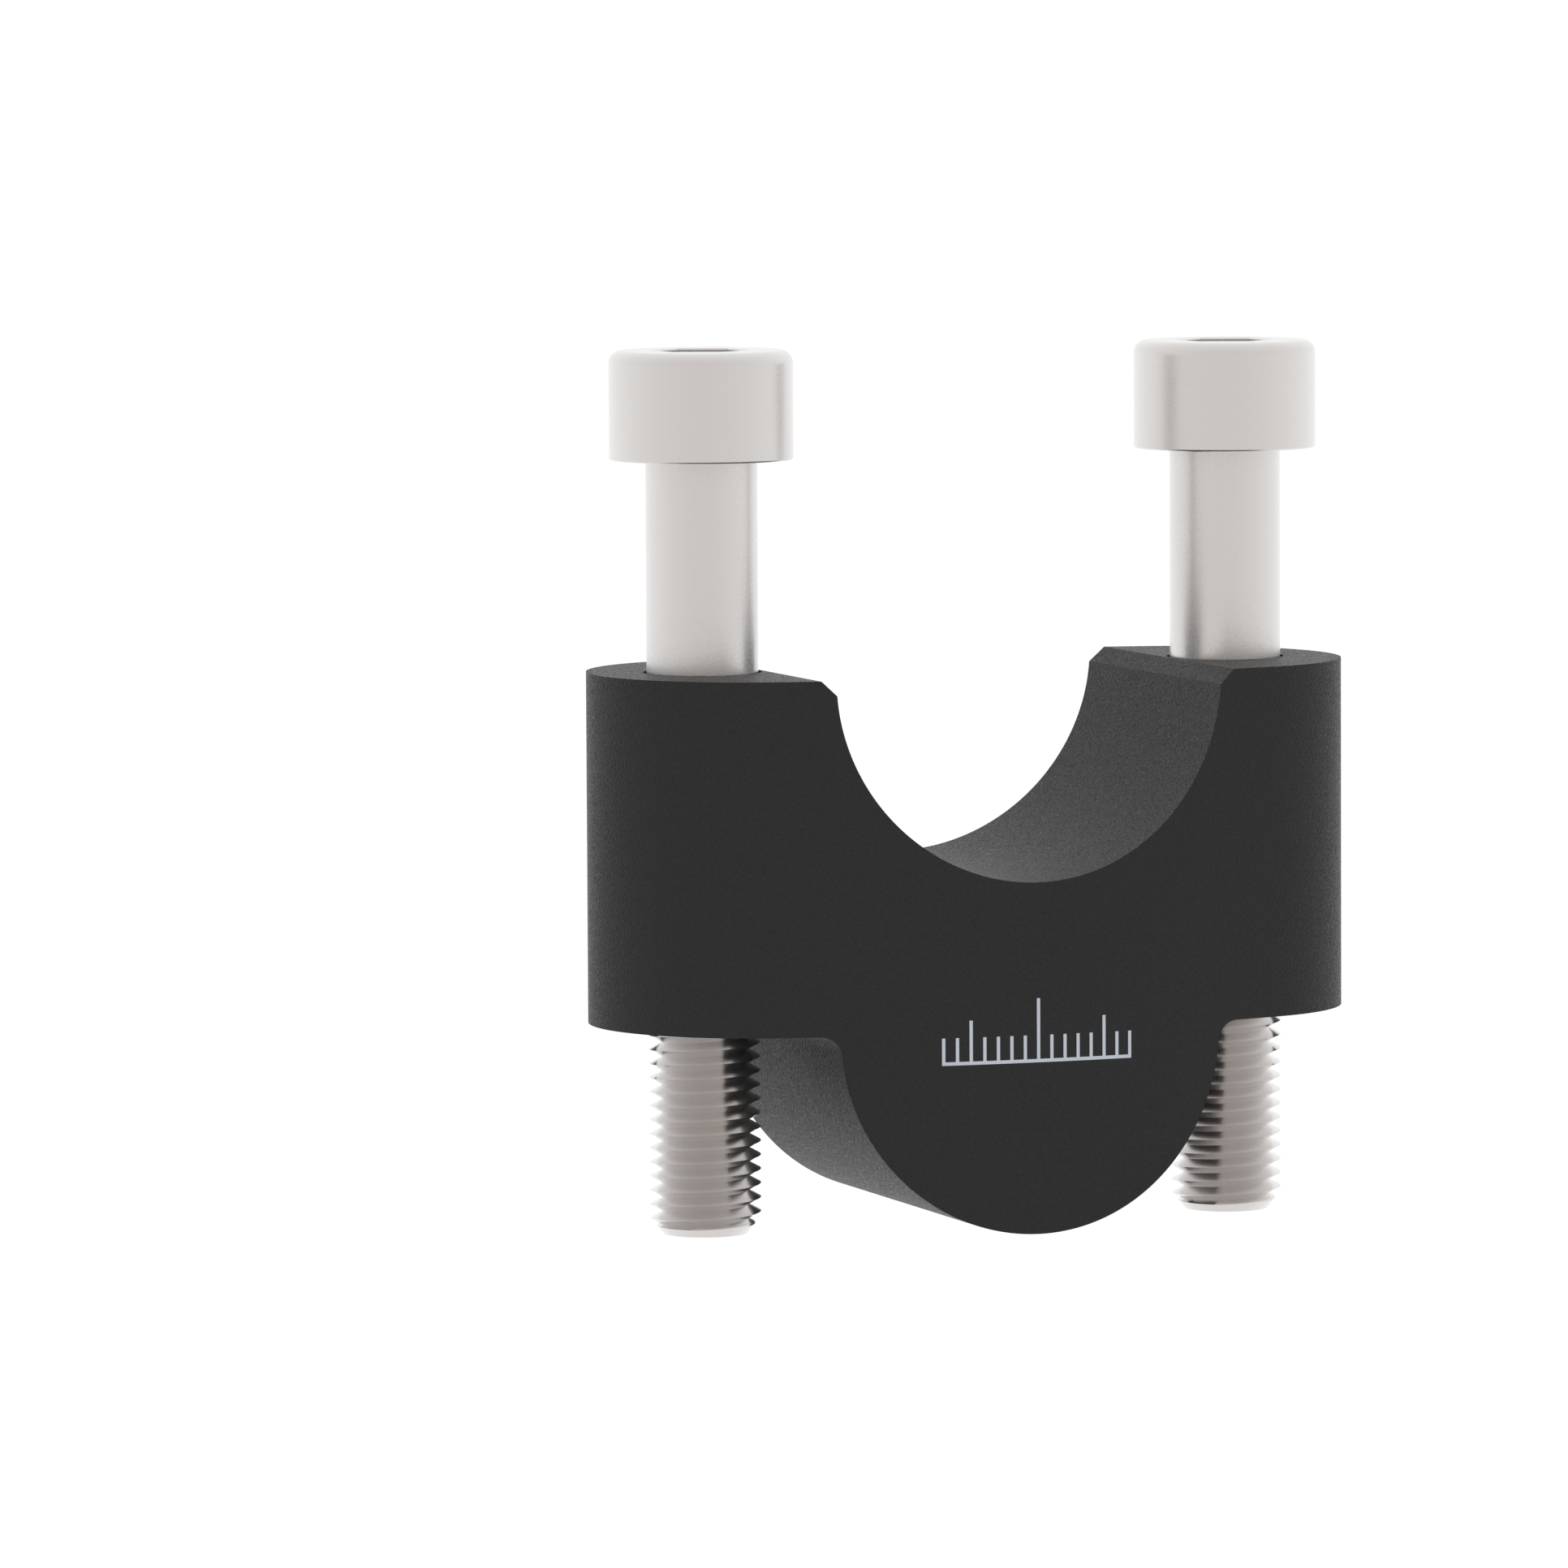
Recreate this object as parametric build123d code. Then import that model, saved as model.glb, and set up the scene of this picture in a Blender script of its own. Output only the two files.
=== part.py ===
from build123d import *
from math import radians, sqrt, tan
import os

# Motorcycle bar riser with its two clamp bolts, all sizes in millimetres.
# X runs from the left bolt to the right bolt, Y along the handlebar, Z up.
# The origin is on the axis of the lower half-round, halfway along it.

# Handlebar and lower clamp
bar_diameter = 28.6         # handlebar clamp diameter, 1 1/8 inch
saddle_clearance = 0.15     # radial play of the bar in the saddle
seat_clearance = 0.05       # how much smaller the lower half-round is than a bar, radially
rise = 25.0                 # height that the block adds, from the lower axis to the saddle's axis

# Riser block
block_thickness = 28.0      # along the bar, at the middle of the bowed faces
face_arc_radius = 76.0      # broad bow of the front and back faces, seen from above
end_wall = 3.8              # wall between a bolt hole and the end of its ear
ear_gap = 0.1               # ear undersides stay this far above the lower axis
ear_fillet = 1.5            # between an ear's underside and the half-round
saddle_chamfer = 1.05       # broken edge where the saddle meets the ear tops
chamfer_land = 0.2          # flat left between that chamfer and the bolt hole

# Clamp bolts, M8 socket-head cap screws
bolt_diameter = 7.9
bolt_length = 54.8          # from under the head to the end
hole_clearance = 0.25       # radial play of a bolt in its hole
clamp_cap_height = 15.0     # room kept under the heads for the ears of the upper clamp
head_diameter = 13.0
head_height = 7.7
head_edge_radius = 0.9      # rounded top rim of the head
socket_across_flats = 6.0
socket_depth = 4.6          # full depth of the six flats
socket_turn = -23.0         # degrees about Z, from a flat that faces the front
socket_edge_break = 0.1     # 45 degree broken edge at the socket's mouth
drill_point_angle = 120.0   # cone that the drill leaves under the flats
end_diameter = 6.0          # flat end of the bolt, inside a 45 degree chamfer

# Worked out from the sizes above
bar_radius = bar_diameter / 2
saddle_radius = bar_radius + saddle_clearance
seat_radius = bar_radius - seat_clearance
bolt_radius = bolt_diameter / 2
hole_radius = bolt_radius + hole_clearance
bolt_x = saddle_radius + saddle_chamfer + chamfer_land + hole_radius
half_length = bolt_x + hole_radius + end_wall
half_thickness = block_thickness / 2
ear_top = rise
head_seat = ear_top + clamp_cap_height
neck_fillet = 0.8 * hole_clearance


def arc_middle(center, start, end):
    # The point halfway along the shorter arc between two points around a centre.
    center, start, end = Vector(*center), Vector(*start), Vector(*end)
    middle = center + ((start + end) / 2 - center).normalized() * (start - center).length
    return middle.X, middle.Y


def block_plan():
    # Barrel outline seen from above: two broad arcs and two end arcs, tangent where they meet.
    # The end radius follows from the length, the thickness and the bow.
    bow_center = face_arc_radius - half_thickness
    spare = face_arc_radius**2 - bow_center**2 - half_length**2
    end_radius = spare / (2 * (face_arc_radius - half_length))
    end_center = half_length - end_radius
    reach = face_arc_radius / (face_arc_radius - end_radius)
    meet_x = reach * end_center
    meet_y = reach * bow_center - bow_center
    front = ThreePointArc((-meet_x, -meet_y), (0, -half_thickness), (meet_x, -meet_y))
    right = ThreePointArc((meet_x, -meet_y), (half_length, 0), (meet_x, meet_y))
    back = ThreePointArc((meet_x, meet_y), (0, half_thickness), (-meet_x, meet_y))
    left = ThreePointArc((-meet_x, meet_y), (-half_length, 0), (-meet_x, -meet_y))
    return make_face([front, right, back, left])


def block_profile():
    # Outline seen along the bar: saddle, ears and lower half-round. It is drawn as one side
    # and its mirror image, and runs past both ends, where the plan outline trims it.
    side = half_length + block_thickness
    wall_x = sqrt(saddle_radius**2 - saddle_chamfer**2)
    wall_z = rise - saddle_chamfer
    rim_x = saddle_radius + saddle_chamfer
    # the fillet's centre is one radius under the ear and one radius outside the half-round
    fillet_z = ear_gap - ear_fillet
    fillet_x = sqrt((seat_radius + ear_fillet)**2 - fillet_z**2)
    share = seat_radius / (seat_radius + ear_fillet)
    seat_end = (share * fillet_x, share * fillet_z)
    ear_end = (fillet_x, ear_gap)
    right = [
        Line((wall_x, wall_z), (rim_x, ear_top)),
        Line((rim_x, ear_top), (side, ear_top)),
        Line((side, ear_top), (side, ear_gap)),
        Line((side, ear_gap), ear_end),
        ThreePointArc(ear_end, arc_middle((fillet_x, fillet_z), ear_end, seat_end), seat_end),
    ]
    left = [mirror(edge, Plane.YZ) for edge in right]
    saddle = ThreePointArc((-wall_x, wall_z), (0, rise - saddle_radius), (wall_x, wall_z))
    seat = ThreePointArc((-seat_end[0], seat_end[1]), (0, -seat_radius), seat_end)
    return make_face(right + left + [saddle, seat])


def riser_block():
    # One piece: the profile run along the bar, kept where it lies inside the barrel outline.
    height = rise + seat_radius
    barrel = Pos(0, 0, -seat_radius - 1) * extrude(block_plan(), height + 2)
    bridge = extrude(Plane.XZ * block_profile(), half_thickness + 1, both=True)
    block = barrel & bridge
    for x in (-bolt_x, bolt_x):
        block -= Pos(x, 0, 0) * Cylinder(hole_radius, 4 * height)
    return block


def bolt_outline():
    # Half section in radius and height, with the head's underside at height 0.
    head_radius = head_diameter / 2
    end_radius = end_diameter / 2
    chamfer_top = bolt_radius - end_radius - bolt_length
    neck_center = (bolt_radius + neck_fillet, -neck_fillet)
    neck_low = (bolt_radius, -neck_fillet)
    neck_high = (bolt_radius + neck_fillet, 0)
    rim_center = (head_radius - head_edge_radius, head_height - head_edge_radius)
    rim_low = (head_radius, head_height - head_edge_radius)
    rim_high = (head_radius - head_edge_radius, head_height)
    return make_face([
        Line((0, -bolt_length), (end_radius, -bolt_length)),
        Line((end_radius, -bolt_length), (bolt_radius, chamfer_top)),
        Line((bolt_radius, chamfer_top), neck_low),
        ThreePointArc(neck_low, arc_middle(neck_center, neck_low, neck_high), neck_high),
        Line(neck_high, (head_radius, 0)),
        Line((head_radius, 0), rim_low),
        ThreePointArc(rim_low, arc_middle(rim_center, rim_low, rim_high), rim_high),
        Line(rim_high, (0, head_height)),
        Line((0, head_height), (0, -bolt_length)),
    ])


def socket_hexagon(growth):
    # The socket's outline, with its flats moved outwards by the growth.
    flat_radius = socket_across_flats / 2 + growth
    return RegularPolygon(flat_radius, 6, major_radius=False, rotation=socket_turn)


def hex_socket():
    # Tool for the socket, with its mouth at height 0: six flats, the point that the drill left
    # under them and a broken edge at the mouth. It overruns the mouth, to cut cleanly.
    overrun = 1.0
    flats = Pos(0, 0, -socket_depth) * extrude(socket_hexagon(0), socket_depth + overrun)
    drill_radius = socket_across_flats / 2
    point_height = drill_radius / tan(radians(drill_point_angle / 2))
    point = Cone(0, drill_radius, point_height, align=(Align.CENTER, Align.CENTER, Align.MAX))
    edge_height = socket_edge_break + overrun
    edge = extrude(Pos(0, 0, overrun) * socket_hexagon(edge_height), edge_height, (0, 0, -1), taper=45)
    return flats + Pos(0, 0, -socket_depth) * point + edge


def clamp_bolt(x):
    # Turned from its half section, then broached. It stands raised by the upper clamp's ears.
    blank = revolve(Plane.XZ * bolt_outline(), Axis.Z)
    screw = blank - Pos(0, 0, head_height) * hex_socket()
    return Pos(x, 0, head_seat) * screw


os.makedirs("parts", exist_ok=True)
pieces = {
    "riser_block": riser_block(),
    "clamp_bolt_left": clamp_bolt(-bolt_x),
    "clamp_bolt_right": clamp_bolt(bolt_x),
}
for name, solid in pieces.items():
    export_step(solid, f"parts/{name}.step")
    print(name, round(solid.volume, 1), "mm3")
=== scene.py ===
import bmesh
import bpy
import numpy as np
from math import acos, asin, atan2, cos, degrees, pi, radians, sin, sqrt
from mathutils import Matrix, Vector


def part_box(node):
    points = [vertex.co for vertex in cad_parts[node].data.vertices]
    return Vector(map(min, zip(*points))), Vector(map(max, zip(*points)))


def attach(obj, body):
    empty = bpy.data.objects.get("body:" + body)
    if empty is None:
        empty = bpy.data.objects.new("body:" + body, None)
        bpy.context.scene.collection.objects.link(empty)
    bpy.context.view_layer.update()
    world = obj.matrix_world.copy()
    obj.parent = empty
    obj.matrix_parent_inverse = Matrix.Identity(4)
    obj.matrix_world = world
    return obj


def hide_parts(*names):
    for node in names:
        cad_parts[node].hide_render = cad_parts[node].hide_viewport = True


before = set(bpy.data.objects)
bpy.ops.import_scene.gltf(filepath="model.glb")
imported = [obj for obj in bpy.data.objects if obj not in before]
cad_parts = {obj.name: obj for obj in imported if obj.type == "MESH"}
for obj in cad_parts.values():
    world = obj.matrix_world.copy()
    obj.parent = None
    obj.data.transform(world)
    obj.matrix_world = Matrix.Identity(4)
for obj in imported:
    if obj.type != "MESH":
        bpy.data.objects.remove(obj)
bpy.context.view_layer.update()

# Motorcycle bar riser with its two clamp bolts. Everything is in metres, in the frame of the CAD.
mm = 0.001


# Mesh helpers. A patch is an array of rows x columns x 3, worked out from two parameters.

weldDistance = 0.0001 * mm      # corners nearer to each other than this become one
sharpAngle = 30                 # degrees, an edge that bends more than this is shaded sharp


def patchFaces(rows, columns):
    # four corners of each cell of the grid: here, next column, next row and column, next row
    corner = (np.arange(rows - 1)[:, None] * columns + np.arange(columns - 1)[None, :]).reshape(-1)
    return np.stack([corner, corner + 1, corner + columns + 1, corner + columns], axis=1)


def surface(x, y, z):
    # three arrays that stretch to one grid become one patch
    return np.stack(np.broadcast_arrays(x, y, z), axis=-1)


def makePiece(name, patches):
    # patches that share a border are welded there, so that the piece is one closed skin
    points, faces, count = [], [], 0
    for patch in patches:
        rows, columns, _ = patch.shape
        points.append(patch.reshape(-1, 3))
        faces.append(patchFaces(rows, columns) + count)
        count += rows * columns
    mesh = bpy.data.meshes.new(name)
    mesh.from_pydata(np.concatenate(points).tolist(), [], np.concatenate(faces).tolist())
    skin = bmesh.new()
    skin.from_mesh(mesh)
    bmesh.ops.remove_doubles(skin, verts=skin.verts, dist=weldDistance)
    bmesh.ops.recalc_face_normals(skin, faces=skin.faces)
    skin.to_mesh(mesh)
    openEdges = sum(1 for edge in skin.edges if len(edge.link_faces) != 2)
    skin.free()
    mesh.shade_smooth()
    mesh.set_sharp_from_angle(angle=radians(sharpAngle))
    piece = bpy.data.objects.new(name, mesh)
    bpy.context.scene.collection.objects.link(piece)
    print(name, len(mesh.polygons), "faces,", openEdges, "open edges")
    return piece


# Riser block

_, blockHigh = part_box("riser_block")
riser = {
    "rise": 25 * mm,                # from the lower axis up to the saddle's axis
    "saddleRadius": 14.45 * mm,
    "seatRadius": 14.25 * mm,       # lower half-round
    "faceArcRadius": 76 * mm,       # bow of the front and back faces
    "halfLength": blockHigh[0],
    "halfThickness": blockHigh[1],
    "saddleChamfer": 1.05 * mm,
    "chamferLand": 0.2 * mm,        # flat between that chamfer and the bolt hole
    "earGap": 0.1 * mm,             # height of the ears' undersides
    "earFillet": 1.5 * mm,
    "holeRadius": 4.2 * mm,
    "joinGap": 0.005 * mm,          # from a bolt hole to the edge where its ear's rays start
    "arcStep": 2.0,                 # degrees between the columns on the saddle's arc
    "fanStep": 3.0,                 # degrees between the rays around a bolt hole
    "seatColumns": 40,              # on each half of the lower half-round
    "filletColumns": 16,
    "wallRows": 5,                  # up a face or a hole's wall
    "earRings": 4,                  # around a bolt hole, out to the outline
    "columnDigits": 6,              # columns are rounded to a micrometre, to drop doubles
}
# a bolt hole's axis lies past the saddle, its chamfer and the land
toHoleAxis = ("saddleRadius", "saddleChamfer", "chamferLand", "holeRadius")
riser["boltX"] = sum(riser[part] for part in toHoleAxis)


def endArc():
    # radius and centre of the arc round an ear's end, which meets the bowed face smoothly
    bow, half = riser["faceArcRadius"], riser["halfLength"]
    bowCentre = bow - riser["halfThickness"]
    radius = (bow**2 - bowCentre**2 - half**2) / (2 * (bow - half))
    return radius, half - radius


def halfWidth(x):
    # half the block's thickness at x: the bowed face, and past the meeting point the end arc
    bow = riser["faceArcRadius"]
    bowCentre = bow - riser["halfThickness"]
    radius, centre = endArc()
    meetX = bow / (bow - radius) * centre
    face = np.sqrt(bow**2 - np.minimum(np.abs(x), meetX)**2) - bowCentre
    end = np.sqrt(np.maximum(radius**2 - np.maximum(np.abs(x) - centre, 0)**2, 0))
    return np.where(np.abs(x) <= meetX, face, end)


def topHeight(x):
    # saddle arc, then the chamfer's slope, then the flat ear
    x = np.abs(x)
    radius, chamfer = riser["saddleRadius"], riser["saddleChamfer"]
    wallX = sqrt(radius**2 - chamfer**2)
    rimX = radius + chamfer
    saddle = riser["rise"] - np.sqrt(radius**2 - np.minimum(x, wallX)**2)
    slope = riser["rise"] - chamfer * (rimX - x) / (rimX - wallX)
    return np.where(x <= wallX, saddle, np.minimum(slope, riser["rise"]))


def filletCentre():
    # the fillet touches the ear's underside and the lower half-round
    z = riser["earGap"] - riser["earFillet"]
    return sqrt((riser["seatRadius"] + riser["earFillet"])**2 - z**2), z


def bottomHeight(x):
    # lower half-round, then the fillet, then the flat underside of the ear
    x = np.abs(x)
    seat, fillet = riser["seatRadius"], riser["earFillet"]
    centreX, centreZ = filletCentre()
    touchX = centreX * seat / (seat + fillet)
    lower = -np.sqrt(seat**2 - np.minimum(x, touchX)**2)
    hollow = centreZ + np.sqrt(fillet**2 - (centreX - np.clip(x, touchX, centreX))**2)
    return np.where(x <= touchX, lower, hollow)


def blockColumns(joinX):
    # places along x that follow the saddle's arc, the lower arc and the fillet, with every corner
    step = radians(riser["arcStep"])
    seat, fillet = riser["seatRadius"], riser["earFillet"]
    centreX, _ = filletCentre()
    wallX = sqrt(riser["saddleRadius"]**2 - riser["saddleChamfer"]**2)
    touchX = centreX * seat / (seat + fillet)
    saddle = riser["saddleRadius"] * np.sin(np.arange(0, asin(wallX / riser["saddleRadius"]), step))
    lower = seat * np.sin(np.linspace(0, asin(touchX / seat), riser["seatColumns"]))
    touch = acos((centreX - touchX) / fillet)
    hollow = centreX - fillet * np.cos(np.linspace(touch, pi / 2, riser["filletColumns"]))
    corners = [wallX, riser["saddleRadius"] + riser["saddleChamfer"]]
    right = np.concatenate([saddle, lower, hollow, corners])
    right = np.unique(np.round(right[right < joinX], riser["columnDigits"]))
    right = np.append(right, joinX)
    return np.concatenate([-right[:0:-1], right])


def outlineReach(angle):
    # distance from a bolt hole's axis to the barrel outline, along a ray
    bow = riser["faceArcRadius"]
    radius, centre = endArc()
    meetX = bow / (bow - radius) * centre
    dx, dy = np.cos(angle), np.abs(np.sin(angle))
    # the end arc's circle, then the circle of the bowed face on the ray's side
    away = centre - riser["boltX"]
    toEnd = away * dx + np.sqrt(radius**2 - (away * dy)**2)
    bowCentre = bow - riser["halfThickness"]
    along = -riser["boltX"] * dx - bowCentre * dy
    across = riser["boltX"]**2 + bowCentre**2 - bow**2
    toFace = along + np.sqrt(along**2 - across)
    return np.where(riser["boltX"] + toEnd * dx >= meetX, toEnd, toFace)


def makeBlock():
    boltX, hole = riser["boltX"], riser["holeRadius"]
    joinX = boltX - hole - riser["joinGap"]     # the ear's fan of rays starts here
    joinWidth = float(halfWidth(joinX))
    corner = atan2(joinWidth, boltX - joinX)
    steps = 2 * round(degrees(corner) / riser["fanStep"])
    fan = np.linspace(-corner, corner, steps + 1)
    across = np.tan(fan) / np.tan(corner)  # from -1 at the front face to 1 at the back face

    # saddle and lower half-round: columns along x, straight rows along the bar
    x = blockColumns(joinX)[None, :]
    width = halfWidth(x)
    top, bottom = topHeight(x), bottomHeight(x)
    y = across[:, None] * width
    patches = [surface(x, y, top), surface(x, y, bottom)]

    # front and back faces, straight up between the two outlines
    lift = np.linspace(0, 1, riser["wallRows"])[:, None]
    height = bottom + lift * (top - bottom)
    patches += [surface(x, -width, height), surface(x, width, height)]

    # ears: rays from the bolt hole out to the join and to the barrel outline
    outerSteps = 2 * round(degrees(pi - corner) / riser["fanStep"])
    outer = np.linspace(corner - pi, pi - corner, outerSteps + 1)
    inner = pi + fan
    spread = np.linspace(0, 1, riser["earRings"])[:, None]
    low, high = riser["earGap"], riser["rise"]
    for side in (-1, 1):
        for angle, reach in ((outer, outlineReach(outer)), (inner, (boltX - joinX) / -np.cos(inner))):
            distance = hole + spread * (reach - hole)
            earX = side * (boltX + distance * np.cos(angle))
            earY = distance * np.sin(angle)
            patches += [surface(earX, earY, high), surface(earX, earY, low)]
            # the hole's wall, and on the outer rays the ear's end
            height = low + lift * (high - low)
            patches.append(surface(side * (boltX + hole * np.cos(angle)), hole * np.sin(angle), height))
            if angle is outer:
                patches.append(surface(earX[-1], earY[-1], height))
    return makePiece("riser_block_skin", patches)


# Clamp bolts

bolt = {
    "seat": 40 * mm,              # height of the head's underside
    "headRadius": 6.5 * mm,
    "headHeight": 7.7 * mm,
    "headEdge": 0.9 * mm,         # rounded top rim
    "headBreak": 0.1 * mm,        # broken edge under the head
    "shankRadius": 3.95 * mm,
    "neckFillet": 0.2 * mm,
    "flatRadius": 3.0 * mm,       # socket's axis to a flat
    "socketDepth": 4.6 * mm,
    "socketBreak": 0.1 * mm,      # broken edge at the socket's mouth
    "cornerTurn": 37.0,           # degrees from +X to a corner of the socket
    "pointAngle": 120.0,          # cone that the drill leaves under the flats
    "length": 54.8 * mm,
    "endRadius": 3.0 * mm,
    "pointSlope": 0.8,            # how fast the end widens, radius for height
    "pointBand": 0.55 * mm,       # plain part of that cone, below the first thread
    "pitch": 1.0 * mm,            # right-hand thread
    "rootRadius": 3.02 * mm,
    "crestHeight": 0.83 * mm,     # a crest passes +X at this height, and at each pitch from it
    "threadLength": 28 * mm,
    "runout": 2.5 * mm,           # the groove fades out over this length
    "guardRow": 0.1 * mm,         # a row this near each rounding keeps the plain parts' shading true
    "columns": 144,
    "threadRows": 8,              # rows for one pitch, on the crest, in the root and between
    "spareTurns": 3,              # turns past each end of the thread, cut level there
    "shankRows": 9,
    "neckRows": 7,
    "edgeRows": 13,
}


def hexagonRadius(angle, flat):
    # distance from the axis to a hexagon's edge: the flat's distance over the cosine of the
    # angle from the middle of the nearest flat
    sector = pi / 3
    turned = np.mod(angle - radians(bolt["cornerTurn"]), sector) - sector / 2
    return flat / np.cos(turned)


def threadShape(turn):
    # height of the V profile over one turn: 1 on the crest, falling evenly to 0 in the root
    return 1 - 2 * np.abs(np.mod(turn + 0.5, 1) - 0.5)


def threadPatch(angle, endZ):
    # rows climb with the helix: height = start + pitch x turns, cut level at both ends.
    # radius = crest - depth x (1 - profile) x fade, and never more than the end's cone. The fade
    # is 3 f squared - 2 f cubed, f from 0 to 1 down the run-out, which leaves the shank smoothly
    pitch, turns = bolt["pitch"], angle / (2 * pi)
    lowest = endZ + bolt["pointBand"]
    highest = endZ + bolt["threadLength"]
    crest, spare = bolt["crestHeight"], bolt["spareTurns"]
    first = crest + pitch * (round((lowest - crest) / pitch) - spare)
    count = int((highest - first) / pitch) + spare
    start = first + pitch * np.arange(count * bolt["threadRows"])[:, None] / bolt["threadRows"]
    z = np.clip(start + pitch * turns, lowest, highest)
    phase = (z - crest) / pitch - turns
    below = np.clip((highest - z) / bolt["runout"], 0, 1)
    fade = below**2 * (3 - 2 * below)
    depth = (bolt["shankRadius"] - bolt["rootRadius"]) * fade
    radius = bolt["shankRadius"] - depth * (1 - threadShape(phase))
    cone = bolt["endRadius"] + bolt["pointSlope"] * (z - endZ)
    return np.minimum(radius, cone), z


def makeBolt(name, centreX):
    angle = radians(bolt["cornerTurn"]) + np.linspace(0, 2 * pi, bolt["columns"] + 1)[None, :]
    seat, top = bolt["seat"], bolt["seat"] + bolt["headHeight"]
    endZ = seat - bolt["length"]
    shank, head = bolt["shankRadius"], bolt["headRadius"]
    neck, edge, broken = bolt["neckFillet"], bolt["headEdge"], bolt["headBreak"]
    guard = bolt["guardRow"]
    thread, threadZ = threadPatch(angle, endZ)
    bandTop = bolt["endRadius"] + bolt["pointSlope"] * bolt["pointBand"]

    # rows as radius and height, each either one number or one for each column
    rows = [(0, endZ), (bolt["endRadius"], endZ), (bandTop, endZ + bolt["pointBand"])]
    rows += list(zip(thread, threadZ))
    shankLow, shankHigh = endZ + bolt["threadLength"] + guard, seat - neck - guard
    rows += [(shank, z) for z in np.linspace(shankLow, shankHigh, bolt["shankRows"])]
    for turn in np.linspace(0, pi / 2, bolt["neckRows"]):
        rows.append((shank + neck - neck * cos(turn), seat - neck + neck * sin(turn)))
    rows += [(shank + neck + guard, seat), (head - broken, seat), (head, seat + broken)]
    rows.append((head, top - edge - guard))
    for turn in np.linspace(0, pi / 2, bolt["edgeRows"]):
        rows.append((head - edge + edge * cos(turn), top - edge + edge * sin(turn)))
    flat, mouth = bolt["flatRadius"], bolt["socketBreak"]
    floor = top - bolt["socketDepth"]
    rows += [
        (head - edge - guard, top),
        (hexagonRadius(angle[0], flat + mouth), top),
        (hexagonRadius(angle[0], flat), top - mouth),
        (hexagonRadius(angle[0], flat), floor),
        (flat, floor),
        (0, floor - flat / np.tan(radians(bolt["pointAngle"] / 2))),
    ]
    radius = np.stack([np.broadcast_to(r, angle.shape[1]) for r, _ in rows])
    height = np.stack([np.broadcast_to(z, angle.shape[1]) for _, z in rows])
    patch = surface(centreX + radius * np.cos(angle), radius * np.sin(angle), height)
    return makePiece(name, [patch])


block = makeBlock()
leftBolt = makeBolt("clamp_bolt_left_turned", -riser["boltX"])
rightBolt = makeBolt("clamp_bolt_right_turned", riser["boltX"])
print("meshes made")


# Node helpers

def addNode(tree, kind, **settings):
    node = tree.nodes.new(kind)
    for name, value in settings.items():
        setattr(node, name, value)
    return node


def feed(tree, node, inputs):
    # a number or colour is set on the socket, an output is linked to it
    for socket, value in inputs.items():
        if isinstance(value, bpy.types.NodeSocket):
            tree.links.new(value, node.inputs[socket])
        else:
            node.inputs[socket].default_value = value


def math(tree, operation, *values):
    node = addNode(tree, "ShaderNodeMath", operation=operation)
    feed(tree, node, dict(enumerate(values)))
    return node.outputs[0]


# A mix node has a set of sockets for each kind of value: first, second and result
mixSockets = {"FLOAT": (2, 3, 0), "RGBA": (6, 7, 2)}


def mix(tree, kind, factor, first, second):
    node = addNode(tree, "ShaderNodeMix", data_type=kind)
    firstSocket, secondSocket, resultSocket = mixSockets[kind]
    feed(tree, node, {"Factor": factor, firstSocket: first, secondSocket: second})
    return node.outputs[resultSocket]


def scaleColour(tree, colour, tone):
    node = addNode(tree, "ShaderNodeVectorMath", operation="SCALE")
    feed(tree, node, {0: colour, "Scale": tone})
    return node.outputs[0]


def newGroup(name, inputs, outputs):
    tree = bpy.data.node_groups.new(name, "ShaderNodeTree")
    for socket, value in inputs.items():
        item = tree.interface.new_socket(name=socket, in_out="INPUT", socket_type="NodeSocketFloat")
        item.default_value = value
    for socket in outputs:
        tree.interface.new_socket(name=socket, in_out="OUTPUT", socket_type="NodeSocketFloat")
    return tree, addNode(tree, "NodeGroupInput"), addNode(tree, "NodeGroupOutput")


def placeGroup(tree, group, **inputs):
    node = addNode(tree, "ShaderNodeGroup", node_tree=group)
    feed(tree, node, inputs)
    return node


# Fine grain: two sizes of noise, the second half as large, as a tone around 1 and as a height

noise = {
    "middle": 0.5,                # noise swings around this value
    "grainDetail": 1.0,           # sizes past the first
    "grainRoughness": 0.6,        # how strong the second size is
    "lineDetail": 2.0,
}


def fineGrainGroup():
    tree, given, result = newGroup("fineGrain", {"Size": 0.2 * mm, "Contrast": 0.1}, ["Tone", "Height"])
    place = addNode(tree, "ShaderNodeTexCoord").outputs["Object"]
    scale = math(tree, "DIVIDE", 1.0, given.outputs["Size"])
    fine = addNode(tree, "ShaderNodeTexNoise", noise_dimensions="3D")
    feed(tree, fine, {"Vector": place, "Scale": scale,
                      "Detail": noise["grainDetail"], "Roughness": noise["grainRoughness"]})
    height = fine.outputs["Fac"]
    above = math(tree, "SUBTRACT", height, noise["middle"])
    swing = math(tree, "MULTIPLY", above, given.outputs["Contrast"])
    feed(tree, result, {"Tone": math(tree, "ADD", 1.0, swing), "Height": height})
    return tree


# Turned lines: noise that changes with the distance from a bolt's axis and with the height only

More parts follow.
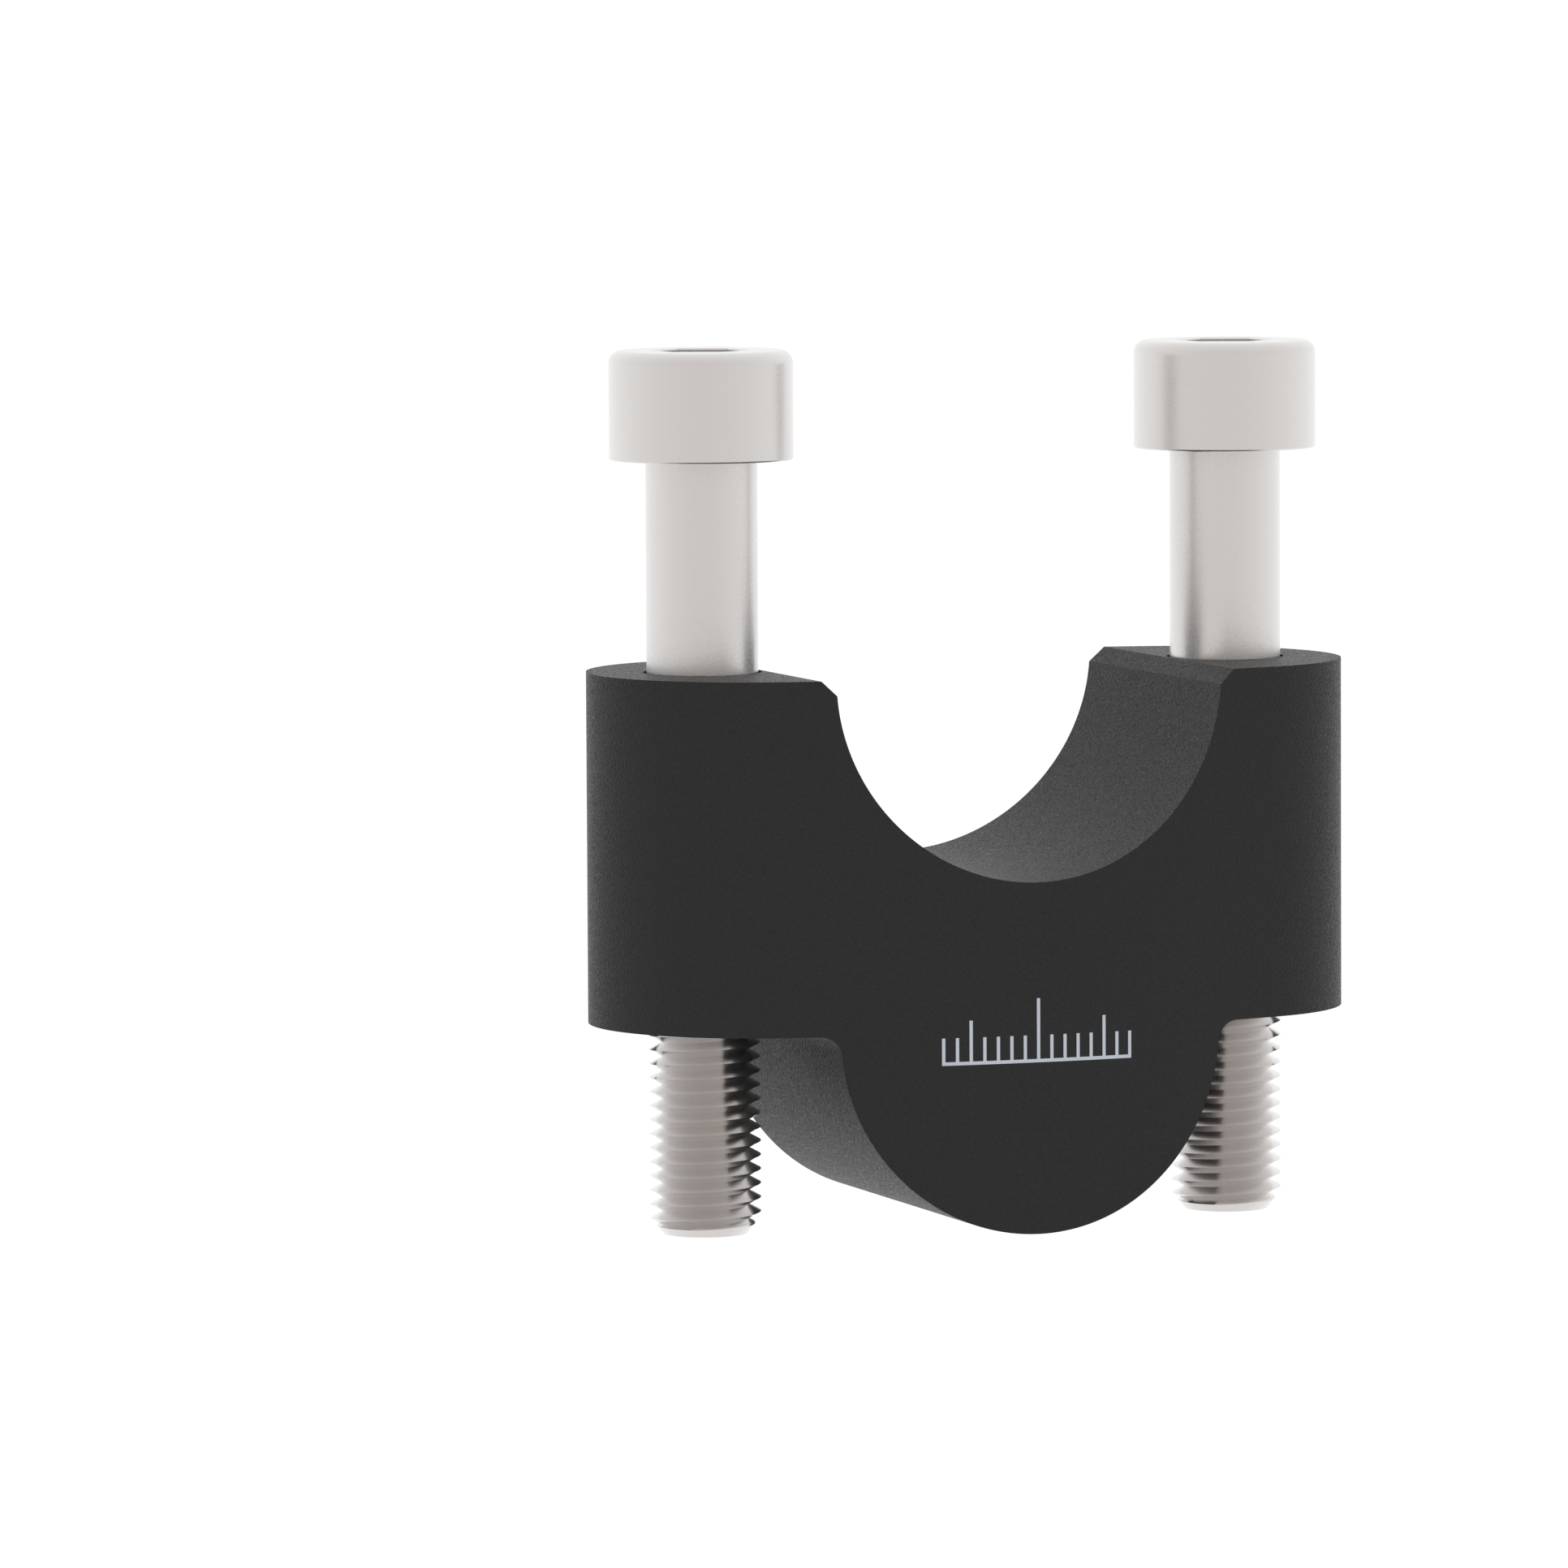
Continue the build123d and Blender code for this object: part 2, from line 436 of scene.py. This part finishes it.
def turnedLinesGroup():
    tree, given, result = newGroup("turnedLines", {"AxisX": 0.0, "Spacing": 0.1 * mm}, ["Lines"])
    place = addNode(tree, "ShaderNodeTexCoord").outputs["Object"]
    split = addNode(tree, "ShaderNodeSeparateXYZ")
    feed(tree, split, {"Vector": place})
    x = math(tree, "SUBTRACT", split.outputs["X"], given.outputs["AxisX"])
    radius = math(tree, "SQRT", math(tree, "ADD", math(tree, "MULTIPLY", x, x),
                                     math(tree, "MULTIPLY", split.outputs["Y"], split.outputs["Y"])))
    joined = addNode(tree, "ShaderNodeCombineXYZ")
    feed(tree, joined, {"X": radius, "Y": split.outputs["Z"]})
    lines = addNode(tree, "ShaderNodeTexNoise", noise_dimensions="2D")
    scale = math(tree, "DIVIDE", 1.0, given.outputs["Spacing"])
    feed(tree, lines, {"Vector": joined.outputs["Vector"], "Scale": scale,
                       "Detail": noise["lineDetail"]})
    feed(tree, result, {"Lines": lines.outputs["Fac"]})
    return tree


# Centring scale printed on the front face: a base line with a mark at each step, taller at each
# fifth and tallest in the middle. The mask is 1 on the print.

printScale = {
    "step": 1.0 * mm,
    "tallEach": 5.0,              # steps from one taller mark to the next
    "halfSpan": 7.0 * mm,
    "lineWidth": 0.24 * mm,
    "baseHeight": -2.0 * mm,
    "shortMark": 1.8 * mm,
    "fifthMark": 3.0 * mm,
    "middleMark": 4.4 * mm,
}


def printMaskGroup():
    tree, given, result = newGroup("centringScale", {"FrontY": -10 * mm}, ["Mask"])
    split = addNode(tree, "ShaderNodeSeparateXYZ")
    feed(tree, split, {"Vector": addNode(tree, "ShaderNodeTexCoord").outputs["Object"]})
    x, y, z = (split.outputs[axis] for axis in "XYZ")
    half = printScale["lineWidth"] / 2
    steps = math(tree, "DIVIDE", x, printScale["step"])
    nearest = math(tree, "ROUND", steps)
    offMark = math(tree, "MULTIPLY", math(tree, "ABSOLUTE", math(tree, "SUBTRACT", steps, nearest)),
                   printScale["step"])
    onMark = math(tree, "LESS_THAN", offMark, half)
    number = math(tree, "ABSOLUTE", nearest)
    # both numbers are whole, so below a half is 0
    fifth = math(tree, "LESS_THAN", math(tree, "MODULO", number, printScale["tallEach"]), 0.5)
    middle = math(tree, "LESS_THAN", number, 0.5)
    length = math(tree, "ADD", printScale["shortMark"],
                  math(tree, "MULTIPLY", fifth, printScale["fifthMark"] - printScale["shortMark"]))
    length = math(tree, "ADD", length,
                  math(tree, "MULTIPLY", middle, printScale["middleMark"] - printScale["fifthMark"]))
    rise = math(tree, "SUBTRACT", z, printScale["baseHeight"])
    marks = math(tree, "MULTIPLY", onMark, math(tree, "MULTIPLY", math(tree, "LESS_THAN", rise, length),
                                                math(tree, "GREATER_THAN", rise, 0.0)))
    base = math(tree, "LESS_THAN", math(tree, "ABSOLUTE", rise), half)
    drawn = math(tree, "MAXIMUM", marks, base)
    inside = math(tree, "LESS_THAN", math(tree, "ABSOLUTE", x), printScale["halfSpan"] + half)
    front = math(tree, "LESS_THAN", y, given.outputs["FrontY"])
    feed(tree, result, {"Mask": math(tree, "MULTIPLY", drawn, math(tree, "MULTIPLY", inside, front))})
    return tree


fineGrain = fineGrainGroup()
turnedLines = turnedLinesGroup()
centringScale = printMaskGroup()


def newMaterial(name):
    material = bpy.data.materials.new(name)
    material.use_nodes = True
    tree = material.node_tree
    return material, tree, tree.nodes["Principled BSDF"]


# Black anodised aluminium, with the light grey print on the front

anodised = {
    "colour": (0.0235, 0.0235, 0.024),
    "printColour": (0.479, 0.503, 0.565),
    "roughness": 0.405,
    "roughnessSwing": 0.78,
    "printRoughness": 0.6,
    "specular": 0.08,
    "grainSize": 0.16 * mm,
    "grainContrast": 0.5,
    "bump": 1.0,
    "bumpHeight": 0.08 * mm,
}


def anodisedMaterial():
    material, tree, shader = newMaterial("black_anodised_aluminium")
    grain = placeGroup(tree, fineGrain, Size=anodised["grainSize"], Contrast=anodised["grainContrast"])
    mask = placeGroup(tree, centringScale).outputs["Mask"]
    toned = scaleColour(tree, anodised["colour"], grain.outputs["Tone"])
    colour = mix(tree, "RGBA", mask, toned, (*anodised["printColour"], 1))
    # the tops of the grain are smoother than its pits
    pit = math(tree, "SUBTRACT", noise["middle"], grain.outputs["Height"])
    rougher = math(tree, "MULTIPLY", pit, anodised["roughnessSwing"])
    matt = math(tree, "ADD", anodised["roughness"], rougher)
    roughness = mix(tree, "FLOAT", mask, matt, anodised["printRoughness"])
    bump = addNode(tree, "ShaderNodeBump")
    feed(tree, bump, {"Strength": anodised["bump"], "Distance": anodised["bumpHeight"],
                      "Height": grain.outputs["Height"]})
    feed(tree, shader, {
        "Base Color": colour,
        "Roughness": roughness,
        "Specular IOR Level": anodised["specular"],
        "Normal": bump.outputs["Normal"],
    })
    return material


# Satin steel of the bolts, its colour whitened towards a grazing view as a painted sheen

steel = {
    "colour": (0.584, 0.552, 0.533),
    "paintedSheenColour": (0.859, 0.855, 0.852),  # painted sheen: the base colour turns whiter towards a grazing view
    "roughness": 0.32,            # turned head and shank
    "roughnessSwing": 0.25,
    "threadRoughness": 0.19,      # rolled thread
    "lineSpacing": 0.06 * mm,
    "lineRoughness": 0.01,
    "grainSize": 0.14 * mm,
    "grainContrast": 0.01,
    "bump": 0.5,
    "bumpHeight": 0.003 * mm,
    "facingBlend": 0.5,           # how early the painted sheen colour comes in
}


def steelMaterial(name, axisX):
    material, tree, shader = newMaterial(name)
    grain = placeGroup(tree, fineGrain, Size=steel["grainSize"], Contrast=steel["grainContrast"])
    lines = placeGroup(tree, turnedLines, AxisX=axisX, Spacing=steel["lineSpacing"]).outputs["Lines"]
    # painted sheen: Layer Weight's Facing mixes the steel's colour towards a whiter one at a grazing
    # view, standing in for reflection
    facing = addNode(tree, "ShaderNodeLayerWeight")
    feed(tree, facing, {"Blend": steel["facingBlend"]})
    paintedSheen = mix(tree, "RGBA", facing.outputs["Facing"], (*steel["colour"], 1), (*steel["paintedSheenColour"], 1))
    toned = scaleColour(tree, paintedSheen, grain.outputs["Tone"])
    split = addNode(tree, "ShaderNodeSeparateXYZ")
    feed(tree, split, {"Vector": addNode(tree, "ShaderNodeTexCoord").outputs["Object"]})
    threadTop = bolt["seat"] - bolt["length"] + bolt["threadLength"]
    threaded = math(tree, "LESS_THAN", split.outputs["Z"], threadTop)
    # the turned part is rougher in the pits of its grain, the thread is rolled smooth
    pit = math(tree, "SUBTRACT", noise["middle"], grain.outputs["Height"])
    rougher = math(tree, "MULTIPLY", pit, steel["roughnessSwing"])
    turned = math(tree, "ADD", steel["roughness"], rougher)
    roughness = mix(tree, "FLOAT", threaded, turned, steel["threadRoughness"])
    line = math(tree, "SUBTRACT", lines, noise["middle"])
    swing = math(tree, "MULTIPLY", line, 2 * steel["lineRoughness"])
    bump = addNode(tree, "ShaderNodeBump")
    feed(tree, bump, {"Strength": steel["bump"], "Distance": steel["bumpHeight"],
                      "Height": grain.outputs["Height"]})
    feed(tree, shader, {
        "Base Color": toned,
        "Metallic": 1.0,
        "Roughness": math(tree, "ADD", roughness, swing),
        "Normal": bump.outputs["Normal"],
    })
    return material


block.data.materials.append(anodisedMaterial())
leftBolt.data.materials.append(steelMaterial("satin_steel_left", -riser["boltX"]))
rightBolt.data.materials.append(steelMaterial("satin_steel_right", riser["boltX"]))
print("materials made")

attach(block, "block")
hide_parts("riser_block")
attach(leftBolt, "left_bolt")
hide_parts("clamp_bolt_left")
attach(rightBolt, "right_bolt")
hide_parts("clamp_bolt_right")


# Floor and light

studio = {
    "floorHeight": -60 * mm,
    "floorSize": 60.0,
    "floorColour": (0.5, 0.5, 0.5),
    "floorGlow": 0.53,           # the floor is a lit panel, as in a light box
    "light": 1.0,                # the same white light from all round
}


def makeFloor():
    half = studio["floorSize"] / 2
    edge = np.linspace(-half, half, 2)
    patch = surface(edge[None, :], edge[:, None], studio["floorHeight"])
    mesh = bpy.data.meshes.new("studio_floor")
    mesh.from_pydata(patch.reshape(-1, 3).tolist(), [], patchFaces(2, 2).tolist())
    floor = bpy.data.objects.new("studio_floor", mesh)
    bpy.context.scene.collection.objects.link(floor)
    material, tree, shader = newMaterial("pale_floor")
    feed(tree, shader, {
        "Base Color": (*studio["floorColour"], 1),
        "Roughness": 1.0,
        "Specular IOR Level": 0.0,
        "Emission Color": (1, 1, 1, 1),
        "Emission Strength": studio["floorGlow"],
    })
    mesh.materials.append(material)


# Camera, at the place worked out from the photograph

cameraPlace = {
    "yaw": 19.961,
    "pitch": 4.675,
    "roll": -0.295,
    "side": -12.988 * mm,        # what it looks at: sideways from the axis, and height
    "height": 16.481 * mm,
    "distance": 775.889 * mm,
    "focalPixels": 13424.763,
    "imagePixels": 1932,
    "sensor": 36.0,
}


def cameraAxes():
    yaw, pitch = radians(cameraPlace["yaw"]), radians(cameraPlace["pitch"])
    roll = radians(cameraPlace["roll"])
    back = Vector((-sin(yaw) * cos(pitch), -cos(yaw) * cos(pitch), sin(pitch)))
    right = (-back).cross(Vector((0, 0, 1))).normalized()
    up = right.cross(-back)
    tiltedRight = cos(roll) * right + sin(roll) * up
    tiltedUp = cos(roll) * up - sin(roll) * right
    return tiltedRight, tiltedUp, back


def makeCamera():
    right, up, back = cameraAxes()
    yaw, side = radians(cameraPlace["yaw"]), cameraPlace["side"]
    target = Vector((side * cos(yaw), -side * sin(yaw), cameraPlace["height"]))
    data = bpy.data.cameras.new("camera")
    data.sensor_width = cameraPlace["sensor"]
    data.lens = cameraPlace["focalPixels"] / cameraPlace["imagePixels"] * cameraPlace["sensor"]
    data.dof.use_dof = False
    camera = bpy.data.objects.new("camera", data)
    turn = Matrix((right, up, back)).transposed().to_4x4()
    camera.matrix_world = Matrix.Translation(target + back * cameraPlace["distance"]) @ turn
    bpy.context.scene.collection.objects.link(camera)
    bpy.context.scene.camera = camera


def makeLight():
    world = bpy.data.worlds.new("studio_light")
    world.use_nodes = True
    feed(world.node_tree, world.node_tree.nodes["Background"],
         {"Color": (1, 1, 1, 1), "Strength": studio["light"]})
    bpy.context.scene.world = world


makeFloor()
makeLight()
makeCamera()
bpy.context.scene.view_settings.view_transform = "Standard"
print("camera, floor and light made")
